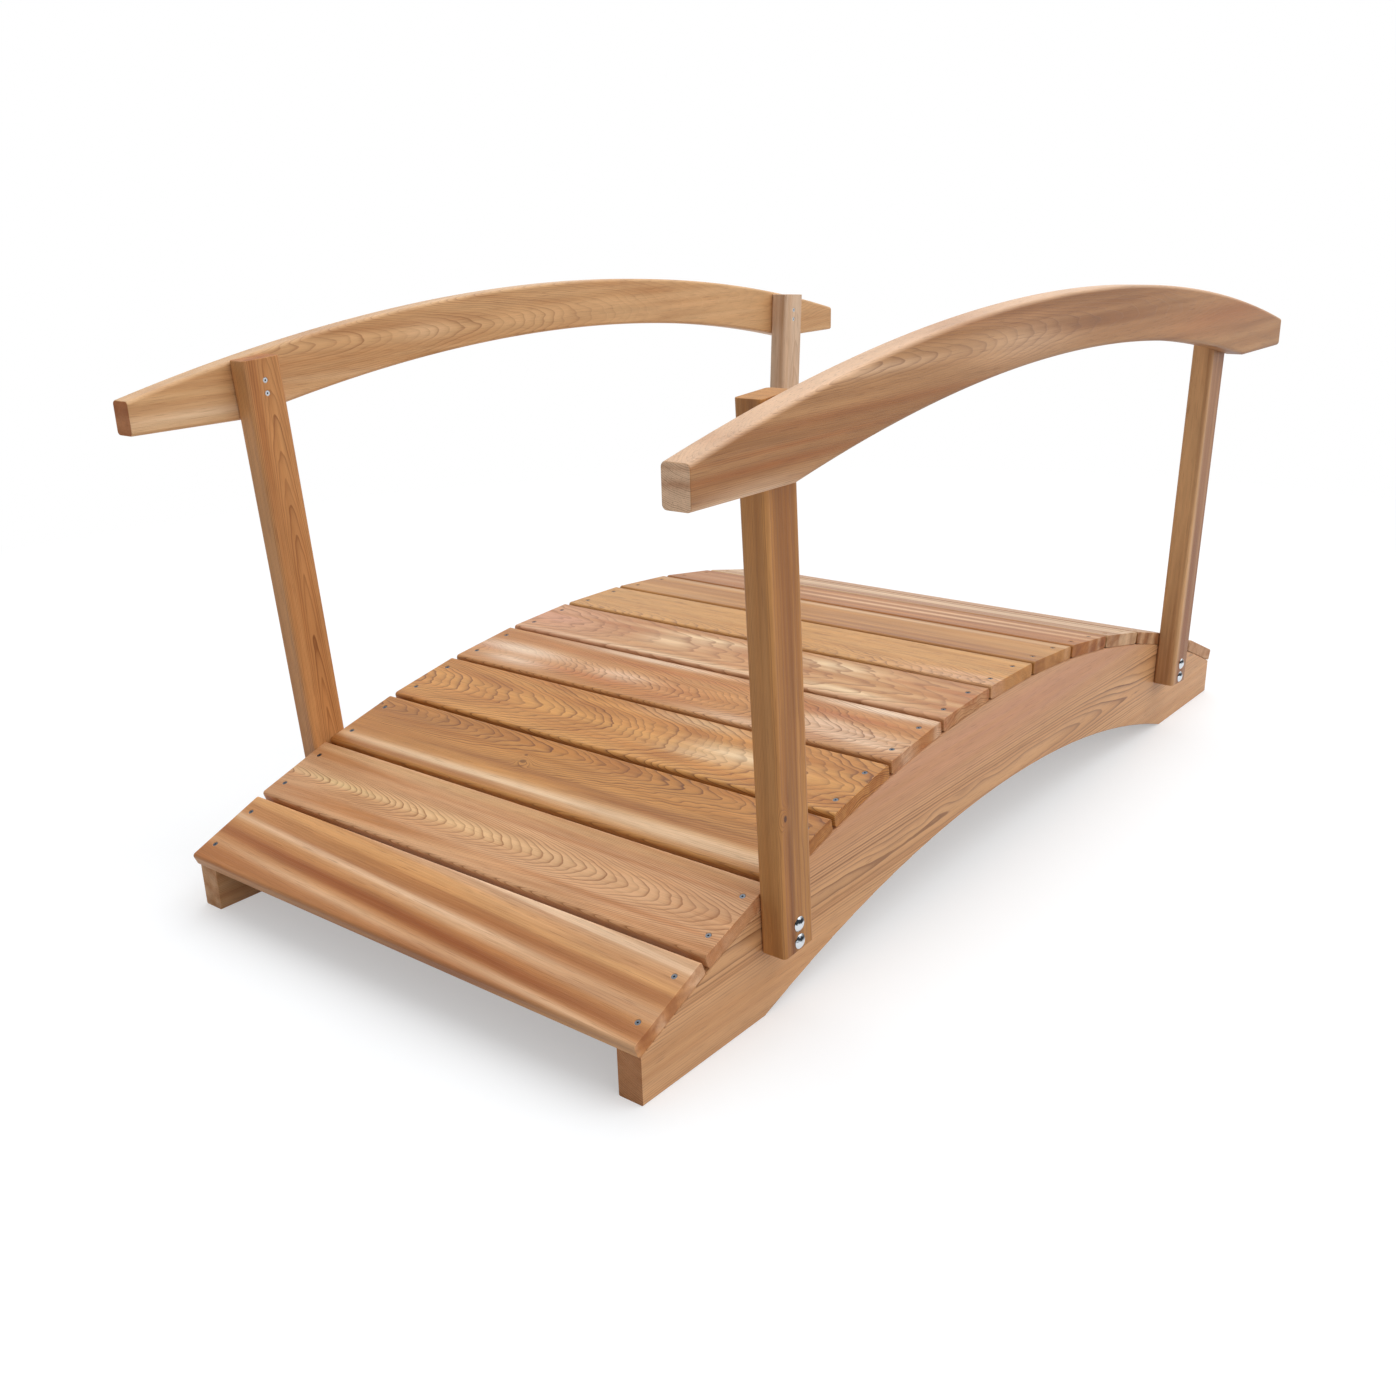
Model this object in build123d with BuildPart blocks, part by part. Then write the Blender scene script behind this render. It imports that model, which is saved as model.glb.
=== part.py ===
from build123d import *
from math import asin, cos, degrees, radians, sin
import os

# A low arched garden footbridge of cedar boards, in millimetres.
# X runs along the span, Y across it and Z up. The origin is on the ground, under the middle of the bridge.
# The near end is towards -X, and the left side is towards +Y.

# stringers, the two side beams
stringer_length = 1829.0
stringer_thickness = 38.0
stringer_crown_height = 265.0
stringer_end_height = 67.3
stringer_foot_length = 248.0
underarch_height = 106.0
stringer_edge_round = 2.0

# deck
deck_width = 889.0
plank_width = 139.7
plank_thickness = 22.0
plank_gap = 6.35
plank_edge_round = 5.0

# handrail posts, their place counted from the end and the bottom of the stringers
post_width = 64.0
post_thickness = 38.0
post_length = 701.0
post_end_distance = 271.0
post_foot_height = 100.0
post_lean = 3.5
post_edge_round = 6.0

# handrails
rail_end_setback = 25.5
rail_thickness = 38.0
rail_rise = 106.0
rail_crown_depth = 82.0
rail_end_depth = 49.0
rail_level_length = 185.0
rail_crown_above_posts = 65.2
rail_edge_round = 6.0

# bolts through the feet of the posts
bolt_diameter = 9.5
bolt_head_diameter = 20.6
bolt_head_rim = 0.8
bolt_head_height = 5.0
bolt_spacing = 25.4
bolt_end_distance = 13.0
bolt_past_nut = 3.0
nut_across_flats = 14.3
nut_height = 8.3
nut_flange_diameter = 22.0
nut_flange_thickness = 1.6

# countersunk screws of the deck and the handrails, for which the boards are drilled
screw_head_diameter = 9.0
screw_head_sink = 0.4
screw_hole_diameter = 4.5
screw_pilot_diameter = 3.2
deck_screw_length = 50.0
deck_screw_spacing = 75.0
rail_screw_length = 63.0
rail_screw_spacing = 19.0
rail_screw_end_distance = 32.0

# clearances and the small rounding that a sanded saw cut has
bolt_hole_clearance = 0.25
nut_thread_clearance = 0.05
sawn_end_round = 1.0

# places worked out from the sizes above
half_stringer = stringer_length / 2
half_deck = deck_width / 2
half_rail = half_stringer - rail_end_setback
post_foot_reach = half_stringer - post_end_distance
post_top_height = post_foot_height + post_length * cos(radians(post_lean))
post_outer_face = half_deck + post_thickness
rail_outer_face = post_outer_face + rail_thickness
rail_crown_height = post_top_height + rail_crown_above_posts

# the arc that the deck follows, and the planks that fill it
stringer_rise = stringer_crown_height - stringer_end_height
deck_radius = (stringer_rise**2 + half_stringer**2) / (2 * stringer_rise)
deck_arc_length = 2 * deck_radius * asin(half_stringer / deck_radius)
plank_pitch = plank_width + plank_gap
plank_count = round((deck_arc_length + plank_gap) / plank_pitch)

# bolts and screws
bolt_radius = bolt_diameter / 2
bolt_hole_radius = bolt_radius + bolt_hole_clearance
bolt_grip = stringer_thickness + post_thickness
bolt_reach = bolt_grip + nut_flange_thickness + nut_height + bolt_past_nut
countersink_radius = screw_head_diameter / 2 + screw_head_sink
screw_reach = deck_screw_spacing / 2
screw_line = half_deck - stringer_thickness / 2
deck_pilot_depth = deck_screw_length - plank_thickness
rail_pilot_depth = rail_screw_length - post_thickness

sides = {"left": 1, "right": -1}
ends = {"near": -1, "far": 1}


def board_plane(outer_face, thickness, side):
    """Upright plane that a board on this side is extruded from, towards -Y."""
    if side > 0:
        return Plane.XZ.offset(-outer_face)
    return Plane.XZ.offset(outer_face - thickness)


def long_edges(board):
    """Edges along the two broad faces of an upright board, without the sawn ends."""
    edges = board.faces().filter_by(Axis.Y).edges()
    return [edge for edge in edges if edge not in edges.filter_by(Axis.Z)]


def plank_plane(number):
    """Plane of a plank's underside, where it rests on the stringers' arc, with X along the span."""
    turn = degrees(plank_pitch / deck_radius) * (number - (plank_count + 1) / 2)
    upright = Vector(0, 0, 1).rotate(Axis.Y, turn)
    seat = Vector(0, 0, stringer_crown_height - deck_radius) + upright * deck_radius
    return Plane(origin=seat, x_dir=upright.rotate(Axis.Y, 90), z_dir=upright)


def post_axis(end):
    """Direction of a post, leaning away from the middle of the bridge."""
    return Vector(end * sin(radians(post_lean)), 0, cos(radians(post_lean)))


def along_post(end, y, distances, facing):
    """Planes on the middle line of a post at distances from its foot, facing out of it."""
    foot = Vector(end * post_foot_reach, y, post_foot_height)
    return [Plane(origin=foot + post_axis(end) * d, z_dir=(0, facing, 0)) for d in distances]


def bolt_planes(end, side):
    """Planes at the bolts of a post, on its outer face and facing out."""
    distances = (bolt_end_distance, bolt_end_distance + bolt_spacing)
    return along_post(end, side * post_outer_face, distances, side)


def rail_screw_planes(end, side, y):
    """Planes at the handrail screws of a post, facing the deck."""
    top = post_length - rail_screw_end_distance
    return along_post(end, y, (top, top - rail_screw_spacing), -side)


def keep(part, name):
    """Label a finished piece and write its file."""
    part.label = name
    export_step(part, f"parts/{name}.step")


os.makedirs("parts", exist_ok=True)

# stringers: arched along the top, with level feet and an arched cut-out between them
foot_inner_end = half_stringer - stringer_foot_length

for side_name, side in sides.items():
    with BuildPart() as stringer:
        with BuildSketch(board_plane(half_deck, stringer_thickness, side)):
            with BuildLine():
                ThreePointArc(
                    (-half_stringer, stringer_end_height),
                    (0, stringer_crown_height),
                    (half_stringer, stringer_end_height),
                )
                Polyline(
                    (half_stringer, stringer_end_height),
                    (half_stringer, 0),
                    (foot_inner_end, 0),
                )
                ThreePointArc((foot_inner_end, 0), (0, underarch_height), (-foot_inner_end, 0))
                Polyline(
                    (-foot_inner_end, 0),
                    (-half_stringer, 0),
                    (-half_stringer, stringer_end_height),
                )
            make_face()
        extrude(amount=stringer_thickness)
        fillet(long_edges(stringer), radius=stringer_edge_round)
        with Locations(*bolt_planes(ends["near"], side), *bolt_planes(ends["far"], side)):
            Hole(bolt_hole_radius)
        for number in range(1, plank_count + 1):
            with Locations(plank_plane(number)):
                with Locations((-screw_reach, side * screw_line), (screw_reach, side * screw_line)):
                    Hole(screw_pilot_diameter / 2, depth=deck_pilot_depth)
    keep(stringer.part, f"stringer_{side_name}")

# deck planks, each flat on the stringers' arc, numbered from the near end
for number in range(1, plank_count + 1):
    underside = plank_plane(number)
    with BuildPart() as plank:
        with BuildSketch(underside):
            Rectangle(plank_width, deck_width)
        extrude(amount=plank_thickness)
        fillet(plank.edges().filter_by(Axis.Y), radius=plank_edge_round)
        fillet(plank.faces().filter_by(Axis.Y).edges(), radius=sawn_end_round)
        with Locations(underside.offset(plank_thickness)):
            with GridLocations(2 * screw_reach, 2 * screw_line, 2, 2):
                CounterSinkHole(screw_hole_diameter / 2, countersink_radius)
    keep(plank.part, f"plank_{number:02d}")

# handrail posts, on the outer faces of the stringers
for end_name, end in ends.items():
    for side_name, side in sides.items():
        middle = side * (half_deck + post_thickness / 2)
        foot = Vector(end * post_foot_reach, middle, post_foot_height)
        across = post_axis(end).rotate(Axis.Y, 90)
        with BuildPart() as post:
            with BuildSketch(Plane(origin=foot, x_dir=across, z_dir=post_axis(end))):
                Rectangle(post_width, post_thickness)
            extrude(amount=post_length)
            fillet(post.edges().filter_by(Axis(foot, post_axis(end))), radius=post_edge_round)
            cut_ends = post.faces().filter_by(Axis(foot, post_axis(end)))
            fillet(cut_ends.edges(), radius=sawn_end_round)
            with Locations(*bolt_planes(end, side)):
                Hole(bolt_hole_radius)
            with Locations(*rail_screw_planes(end, side, side * half_deck)):
                CounterSinkHole(screw_hole_diameter / 2, countersink_radius)
        keep(post.part, f"post_{end_name}_{side_name}")

# handrails: arched above and below, with level ends
rail_end_top = rail_crown_height - rail_rise
rail_end_bottom = rail_end_top - rail_end_depth
rail_level_end = half_rail - rail_level_length
rail_arch_height = rail_crown_height - rail_crown_depth

for side_name, side in sides.items():
    with BuildPart() as handrail:
        with BuildSketch(board_plane(rail_outer_face, rail_thickness, side)):
            with BuildLine():
                ThreePointArc(
                    (-half_rail, rail_end_top), (0, rail_crown_height), (half_rail, rail_end_top)
                )
                Polyline(
                    (half_rail, rail_end_top),
                    (half_rail, rail_end_bottom),
                    (rail_level_end, rail_end_bottom),
                )
                ThreePointArc(
                    (rail_level_end, rail_end_bottom),
                    (0, rail_arch_height),
                    (-rail_level_end, rail_end_bottom),
                )
                Polyline(
                    (-rail_level_end, rail_end_bottom),
                    (-half_rail, rail_end_bottom),
                    (-half_rail, rail_end_top),
                )
            make_face()
        extrude(amount=rail_thickness)
        fillet(long_edges(handrail), radius=rail_edge_round)
        fillet(handrail.faces().filter_by(Axis.X).edges(), radius=sawn_end_round)
        for end in ends.values():
            with Locations(*rail_screw_planes(end, side, side * post_outer_face)):
                Hole(screw_pilot_diameter / 2, depth=rail_pilot_depth)
    keep(handrail.part, f"handrail_{side_name}")

# domed bolts through the posts and stringers, with flanged nuts inside
head_radius = bolt_head_diameter / 2

for end_name, end in ends.items():
    for side_name, side in sides.items():
        with BuildPart() as bolts:
            for face in bolt_planes(end, side):
                with BuildSketch(Plane(origin=face.origin, x_dir=face.z_dir, z_dir=(1, 0, 0))):
                    with BuildLine():
                        Polyline(
                            (bolt_head_height, 0),
                            (-bolt_reach, 0),
                            (-bolt_reach, bolt_radius),
                            (0, bolt_radius),
                            (0, head_radius),
                            (bolt_head_rim, head_radius),
                        )
                        TangentArc(
                            (bolt_head_height, 0), (bolt_head_rim, head_radius), tangent=(0, 1)
                        )
                    make_face()
                revolve(axis=Axis(face.origin, face.z_dir))
        keep(bolts.part, f"carriage_bolts_{end_name}_{side_name}")

        with BuildPart() as nuts:
            for face in bolt_planes(end, side):
                nut_seat = Plane(origin=face.origin - face.z_dir * bolt_grip, z_dir=-face.z_dir)
                with BuildSketch(nut_seat):
                    Circle(nut_flange_diameter / 2)
                extrude(amount=nut_flange_thickness)
                with BuildSketch(nut_seat):
                    RegularPolygon(nut_across_flats / 2, side_count=6, major_radius=False)
                extrude(amount=nut_flange_thickness + nut_height)
                with Locations(nut_seat):
                    Hole(bolt_radius + nut_thread_clearance)
        keep(nuts.part, f"bolt_nuts_{end_name}_{side_name}")
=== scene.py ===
from math import atan2, cos, pi, radians, sin, sqrt

import bpy
from mathutils import Matrix, Vector


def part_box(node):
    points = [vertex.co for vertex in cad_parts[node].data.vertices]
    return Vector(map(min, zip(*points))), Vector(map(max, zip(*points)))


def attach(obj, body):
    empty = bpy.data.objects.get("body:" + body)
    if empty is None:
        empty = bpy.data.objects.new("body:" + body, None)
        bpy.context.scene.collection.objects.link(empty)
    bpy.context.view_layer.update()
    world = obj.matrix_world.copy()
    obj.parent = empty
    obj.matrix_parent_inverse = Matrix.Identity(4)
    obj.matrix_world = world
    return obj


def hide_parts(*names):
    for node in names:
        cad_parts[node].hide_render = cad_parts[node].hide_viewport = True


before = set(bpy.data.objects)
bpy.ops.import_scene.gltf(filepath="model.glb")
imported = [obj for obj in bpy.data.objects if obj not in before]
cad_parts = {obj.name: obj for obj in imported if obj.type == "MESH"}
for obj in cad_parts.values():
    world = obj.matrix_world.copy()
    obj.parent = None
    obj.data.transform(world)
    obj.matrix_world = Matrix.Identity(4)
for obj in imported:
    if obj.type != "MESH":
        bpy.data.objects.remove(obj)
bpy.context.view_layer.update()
pieces = dict(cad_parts)
scene = bpy.context.scene
print("frame loaded,", len(pieces), "pieces")


# small helpers

nodeStep = (220, -260)            # spacing of the nodes in the node editor
nodeColumns = 14
white = (1, 1, 1, 1)


def tone(red, green, blue):  # a colour as it looks on a screen, 0 to 255, made linear
    return tuple(((v / 255 + 0.055) / 1.055) ** 2.4 for v in (red, green, blue)) + (1.0,)


def middleOf(name):
    low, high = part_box(name)
    return (low + high) / 2


def put(tree, kind, sockets=None, **settings):  # a node with its settings, values and links
    node = tree.nodes.new(kind)
    row, column = divmod(len(tree.nodes), nodeColumns)
    node.location = (nodeStep[0] * column, nodeStep[1] * row)
    for key, value in settings.items():
        setattr(node, key, value)
    for key, value in (sockets or {}).items():
        if isinstance(value, bpy.types.NodeSocket):
            tree.links.new(value, node.inputs[key])
        else:
            node.inputs[key].default_value = value
    return node


def calc(tree, operation, first, second=0.0, third=0.0):
    sockets = {0: first, 1: second}
    if operation == "MULTIPLY_ADD":
        sockets[2] = third
    return put(tree, "ShaderNodeMath", sockets, operation=operation).outputs[0]


def vectorCalc(tree, operation, first, second):
    return put(tree, "ShaderNodeVectorMath", {0: first, 1: second}, operation=operation).outputs[0]


def stretch(tree, value, low, high, toLow=0.0, toHigh=1.0):  # a clamped change of range
    sockets = {"Value": value, "From Min": low, "From Max": high, "To Min": toLow, "To Max": toHigh}
    return put(tree, "ShaderNodeMapRange", sockets).outputs["Result"]


def blendColour(tree, amount, first, second):
    node = put(tree, "ShaderNodeMix", {0: amount, 6: first, 7: second}, data_type="RGBA")
    return node.outputs[2]


def cloud(tree, vector, detail=1.0, roughness=0.5):  # plain noise, from 0 to 1
    sockets = {"Vector": vector, "Scale": 1.0, "Detail": detail, "Roughness": roughness}
    return put(tree, "ShaderNodeTexNoise", sockets, noise_dimensions="3D")


# camera, at the place the photograph was taken from

photoView = {
    "pictureSize": 1396,          # pixels
    "focalLength": 1418.7,        # pixels
    "principalPoint": (679.1, 744.1),
    "stand": (-1.9666, -1.3879, 0.9989),
    "yaw": 39.62,                 # degrees from +X
    "downward": 20.99,
    "roll": -1.80,
    "sensorWidth": 36,            # millimetres
    "sightLength": 60,            # metres
}


def makeCamera(view):
    yaw, down, roll = (radians(view[key]) for key in ("yaw", "downward", "roll"))
    forward = Vector((cos(yaw) * cos(down), sin(yaw) * cos(down), -sin(down)))
    level = Vector((sin(yaw), -cos(yaw), 0))
    upright = level.cross(forward)
    right = cos(roll) * level + sin(roll) * upright
    up = -sin(roll) * level + cos(roll) * upright
    data = bpy.data.cameras.new("photoCamera")
    size = view["pictureSize"]
    data.sensor_width = view["sensorWidth"]
    data.lens = view["focalLength"] / size * data.sensor_width
    data.shift_x = (size / 2 - view["principalPoint"][0]) / size
    data.shift_y = (view["principalPoint"][1] - size / 2) / size
    data.clip_end = view["sightLength"]
    camera = bpy.data.objects.new("photoCamera", data)
    turn = Matrix((right, up, -forward)).transposed().to_4x4()
    camera.matrix_world = Matrix.Translation(view["stand"]) @ turn
    scene.collection.objects.link(camera)
    scene.camera = camera


makeCamera(photoView)
print("camera placed")


# light and floor

studio = {
    "skyStrength": 0.36,
    "lampDistance": 4.0,          # metres, only for the look of the viewport
    "lamps": {                    # strength, width of the light in degrees, and the side it comes from
        "overheadLight": (1.75, 70, (0.35, 0.05, 0.95)),
        "frontLight": (1.25, 80, (0.15, -0.9, 0.45)),
    },
    "floorTone": (0.615, 0.63, 0.645),  # a little cool, against the light the wood throws on it
    "floorGlow": 0.40,            # only for the eye, lifts the open floor to white
    "floorHalf": 14.0,            # metres
    "floorFade": (1.6, 3.2),      # metres from the bridge where the floor turns to backdrop
}


def seenDirectly(tree):  # 1 for what the camera sees, also in gloss and through glass
    path = put(tree, "ShaderNodeLightPath").outputs
    seen = calc(tree, "MAXIMUM", path["Is Camera Ray"], path["Is Glossy Ray"])
    return calc(tree, "MAXIMUM", seen, path["Is Transmission Ray"])


def makeStudio(look):
    scene.view_settings.view_transform = "Standard"
    world = bpy.data.worlds.new("studioWorld")
    world.use_nodes = True
    tree = world.node_tree
    tree.nodes.clear()
    strength = stretch(tree, seenDirectly(tree), 0.0, 1.0, look["skyStrength"], 1.0)
    sky = put(tree, "ShaderNodeBackground", {"Color": white, "Strength": strength})
    put(tree, "ShaderNodeOutputWorld", {"Surface": sky.outputs[0]})
    scene.world = world

    for name, (energy, spread, source) in look["lamps"].items():
        lamp = bpy.data.lights.new(name, "SUN")
        lamp.energy = energy
        lamp.angle = radians(spread)
        holder = bpy.data.objects.new(name, lamp)
        holder.rotation_euler = Vector(source).to_track_quat("Z", "Y").to_euler()
        holder.location = Vector(source) * look["lampDistance"]
        scene.collection.objects.link(holder)

    half = look["floorHalf"]
    mesh = bpy.data.meshes.new("studioFloor")
    corners = [(-half, -half, 0), (half, -half, 0), (half, half, 0), (-half, half, 0)]
    mesh.from_pydata(corners, [], [(0, 1, 2, 3)])
    floor = bpy.data.objects.new("studioFloor", mesh)
    scene.collection.objects.link(floor)

    paper = bpy.data.materials.new("paleFloor")
    paper.use_nodes = True
    tree = paper.node_tree
    tree.nodes.clear()
    where = put(tree, "ShaderNodeTexCoord").outputs["Object"]
    distance = put(tree, "ShaderNodeVectorMath", {0: where}, operation="LENGTH").outputs["Value"]
    far = stretch(tree, distance, *look["floorFade"])
    seen = seenDirectly(tree)
    matt = put(tree, "ShaderNodeBsdfDiffuse", {"Color": look["floorTone"] + (1,)})
    glow = put(tree, "ShaderNodeEmission", {"Color": white, "Strength": look["floorGlow"]})
    lifted = put(tree, "ShaderNodeAddShader", {0: matt.outputs[0], 1: glow.outputs[0]})
    near = put(tree, "ShaderNodeMixShader", {0: seen, 1: matt.outputs[0], 2: lifted.outputs[0]})
    backdrop = put(tree, "ShaderNodeEmission", {"Color": white, "Strength": 1.0})
    shown = calc(tree, "MULTIPLY", far, seen)
    mixed = put(tree, "ShaderNodeMixShader", {0: shown, 1: near.outputs[0], 2: backdrop.outputs[0]})
    put(tree, "ShaderNodeOutputMaterial", {"Surface": mixed.outputs[0]})
    mesh.materials.append(paper)


makeStudio(studio)
print("studio set")


# cedar: growth rings round a pith line, cut by the board, in millimetres along, across and into it

figureLengths = {                 # millimetres along, across and into the board
    "bulge": (240, 42, 42),
    "ripple": (34, 13, 13),
    "streaks": (800, 20, 20),
    "mottle": (170, 20, 20),
    "fibre": (60, 0.9, 0.9),
    "flecks": (42, 1.5, 1.5),
    "slowWander": 700.0,          # of the pith line, along the board
    "quickWander": 210.0,
    "ringDrift": 26.0,            # of the ring spacing, across the rings
    "bandLength": 1500.0,
    "bandWidth": 15.0,
}
figureShifts = {                  # keep the noises apart
    "bulge": 1.7, "ripple": 5.9, "streaks": 9.4, "mottle": 12.8, "fibre": 2.6, "flecks": 7.5,
    "slowWander": 3.1, "quickWander": 8.3, "ringDrift": 4.4, "bands": 6.2,
}
lateWood = ((0.05, 0.0), (0.45, 0.10), (0.74, 0.42), (0.90, 1.0), (0.96, 0.9))  # darkness over one ring
quickShare = 0.3                  # size of the quick wander beside the slow one
driftRings = 3.0                  # how many rings the drift can move a line by


def makeCedarFigure():
    tree = bpy.data.node_groups.new("cedarFigure", "ShaderNodeTree")
    wanted = (
        ("Place", "Vector", (0, 0, 0)), ("Pith Across", "Float", 0.0), ("Pith Deep", "Float", -70.0),
        ("Slope", "Float", 0.03), ("Ring Width", "Float", 4.0), ("Meander", "Float", 12.0),
        ("Wobble", "Float", 5.0), ("Ripple", "Float", 0.6), ("Swell", "Float", 0.0),
        ("Seed", "Float", 0.0),
    )
    for name, kind, value in wanted:
        socket = tree.interface.new_socket(name, in_out="INPUT", socket_type="NodeSocket" + kind)
        socket.default_value = value
    for name in ("Late", "Ring Tone", "Bands", "Streaks", "Mottle", "Fibre", "Flecks"):
        tree.interface.new_socket(name, in_out="OUTPUT", socket_type="NodeSocketFloat")
    given = put(tree, "NodeGroupInput").outputs
    along, across, deep = put(tree, "ShaderNodeSeparateXYZ", {0: given["Place"]}).outputs

    def over(value, name):  # a value in lengths of a noise
        return calc(tree, "DIVIDE", value, figureLengths[name])

    def seeded(name, x, y=0.0):  # a point for a noise, moved by the board's seed
        moved = calc(tree, "ADD", given["Seed"], figureShifts[name])
        shift = put(tree, "ShaderNodeCombineXYZ", {0: moved, 1: moved, 2: moved}).outputs[0]
        point = put(tree, "ShaderNodeCombineXYZ", {0: x, 1: y}).outputs[0]
        return vectorCalc(tree, "ADD", point, shift)

    def scaled(name):  # the place over a noise's lengths in each direction, moved by the board's seed
        shares = tuple(1 / length for length in figureLengths[name])
        moved = calc(tree, "ADD", given["Seed"], figureShifts[name])
        return vectorCalc(tree, "ADD", vectorCalc(tree, "MULTIPLY", given["Place"], shares), moved)

    def swing(noise, size):  # noise from -size to size
        return calc(tree, "MULTIPLY", calc(tree, "MULTIPLY_ADD", noise, 2.0, -1.0), size)

    # the pith line wanders along the board
    slow = cloud(tree, seeded("slowWander", over(along, "slowWander"))).outputs["Color"]
    quick = cloud(tree, seeded("quickWander", over(along, "quickWander"))).outputs["Color"]
    wander = put(tree, "ShaderNodeSeparateXYZ", {0: slow}).outputs
    quiver = put(tree, "ShaderNodeSeparateXYZ", {0: quick}).outputs
    slight = calc(tree, "MULTIPLY", given["Meander"], quickShare)
    fromPithAcross = calc(tree, "SUBTRACT", across, given["Pith Across"])
    fromPithAcross = calc(tree, "ADD", fromPithAcross, swing(wander[0], given["Meander"]))
    fromPithAcross = calc(tree, "ADD", fromPithAcross, swing(quiver[0], slight))
    fromPithDeep = calc(tree, "SUBTRACT", deep, given["Pith Deep"])
    fromPithDeep = calc(tree, "MULTIPLY_ADD", along, given["Slope"], fromPithDeep)
    fromPithDeep = calc(tree, "ADD", fromPithDeep, swing(wander[1], given["Meander"]))
    fromPithDeep = calc(tree, "ADD", fromPithDeep, swing(quiver[1], slight))
    spoke = put(tree, "ShaderNodeCombineXYZ", {0: fromPithAcross, 1: fromPithDeep}).outputs[0]
    radius = put(tree, "ShaderNodeVectorMath", {0: spoke}, operation="LENGTH").outputs["Value"]

    # the rings bulge, ripple and part round knots and eyes
    bulge = swing(cloud(tree, scaled("bulge"), 2.0).outputs[0], given["Wobble"])
    ripple = swing(cloud(tree, scaled("ripple"), 1.0).outputs[0], given["Ripple"])
    uneven = calc(tree, "ADD", ripple, given["Swell"])
    ringPlace = calc(tree, "ADD", calc(tree, "ADD", radius, bulge), uneven)

    # ring spacing drifts, and each ring has a pale early part and a dark late line
    drift = cloud(tree, seeded("ringDrift", over(ringPlace, "ringDrift"))).outputs[0]
    driftSize = calc(tree, "MULTIPLY", given["Ring Width"], driftRings)
    rings = calc(tree, "MULTIPLY_ADD", drift, driftSize, ringPlace)
    rings = calc(tree, "DIVIDE", rings, given["Ring Width"])
    phase = calc(tree, "FRACT", rings)
    number = calc(tree, "ADD", calc(tree, "FLOOR", rings), given["Seed"])
    chance = put(tree, "ShaderNodeTexWhiteNoise", {"W": number}, noise_dimensions="1D")
    late = put(tree, "ShaderNodeValToRGB", {0: phase})
    ramp = late.color_ramp
    ramp.elements[0].position, ramp.elements[1].position = 0.0, 1.0
    ramp.elements[1].color = (0, 0, 0, 1)
    for position, value in lateWood:
        ramp.elements.new(position).color = (value, value, value, 1)

    # broad bands follow the rings, streaks follow the board
    bandPlace = seeded("bands", over(along, "bandLength"), over(ringPlace, "bandWidth"))
    bands = cloud(tree, bandPlace, 2.0).outputs[0]
    streaks = cloud(tree, scaled("streaks"), 2.0).outputs[0]
    mottle = cloud(tree, scaled("mottle"), 4.0, 0.68).outputs[0]
    fibre = cloud(tree, scaled("fibre"), 3.0, 0.6).outputs[0]
    flecks = cloud(tree, scaled("flecks"), 1.0).outputs[0]
    put(tree, "NodeGroupOutput", {
        "Late": late.outputs[0],
        "Ring Tone": chance.outputs["Value"],
        "Bands": stretch(tree, bands, 0.38, 0.62),
        "Streaks": stretch(tree, streaks, 0.37, 0.63),
        "Mottle": stretch(tree, mottle, 0.25, 0.75),
        "Fibre": fibre,
        "Flecks": stretch(tree, flecks, 0.60, 0.72),
    })
    return tree


cedarFigure = makeCedarFigure()

knotTone = tone(92, 54, 34)
knotForm = {                      # in radii of the knot
    "partedLength": 3.9,          # of the rings that part round it
    "partedWidth": 2.6,
    "lift": 2.4,
    "heartLength": 1.5,
}
cedarSurface = {
    "specular": 0.28,
    "roughness": 0.38,
    "fibreRoughness": 0.16,       # what each adds to the roughness
    "lateRoughness": -0.05,
    "endRoughness": 0.2,
    "relief": 0.45,
    "reliefDepth": 0.0005,        # metres
    "fibreRelief": 0.5,
    "lateRelief": 0.6,
    "fleckRelief": -0.4,
    "endStart": 0.75,             # how squarely a face cuts the grain, where end grain starts and is full
    "endFull": 0.92,
    "endTint": (0.55, 0.25, 0.10, 1),
    "endLines": 0.25,             # how much stronger ring lines are on end grain
    "topLines": -0.9,             # and how much weaker on tops paled by the painted top light
    "ringSpread": 0.6,            # how far one ring's line differs from the next
}

cedarLook = {                     # lengths in millimetres, tones from 0 to 255
    "base": (203, 156, 114),      # pale early wood
    "band": (172, 120, 78),       # broad darker bands along the rings
    "streak": (226, 188, 150),    # pale streaks along the board
    "line": (140, 88, 50),        # the late wood line of each ring
    "bandShare": 0.7, "streakShare": 0.6, "lineShare": 0.6, "fleckShare": 0.3, "fibreShare": 0.3,
    "mottleShare": 0.26, "endShade": 0.32,
    "pith": (0.0, -45.0), "slope": 0.08, "skew": 0.0, "ringWidth": 2.0,
    "meander": 8.0, "wobble": 3.0, "ripple": 0.6, "seed": 0.0,
    "knots": (),                  # along, across, radius
    "knotShare": 0.8,
    "eyes": (),                   # ovals: along, across, half length, half width, lift
    "patches": (),                # along, across, half length, half width, share
    "pale": (240, 208, 170),      # tone of the patches, and of the painted top and end-grain light
    "stains": (),                 # darker places, as the patches
    "deep": (146, 92, 52),
    "calm": (),                   # places where the ring lines fade, as the patches
    "topPaintedLight": 0.0,               # painted top light: how far faces that look up are painted paler, as if lit from above
    "endPaintedLight": 0.0,               # the same painted light for end grain, turned paler
}


def hump(tree, board, along, across, halfLength, halfWidth):  # 1 at a place on the board, fading round it
    off = vectorCalc(tree, "SUBTRACT", board, (along, across, 0))
    off = vectorCalc(tree, "MULTIPLY", off, (1 / halfLength, 1 / halfWidth, 0))
    square = put(tree, "ShaderNodeVectorMath", {0: off, 1: off}, operation="DOT_PRODUCT").outputs["Value"]
    return calc(tree, "EXPONENT", calc(tree, "MULTIPLY", square, -1.0))


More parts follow.
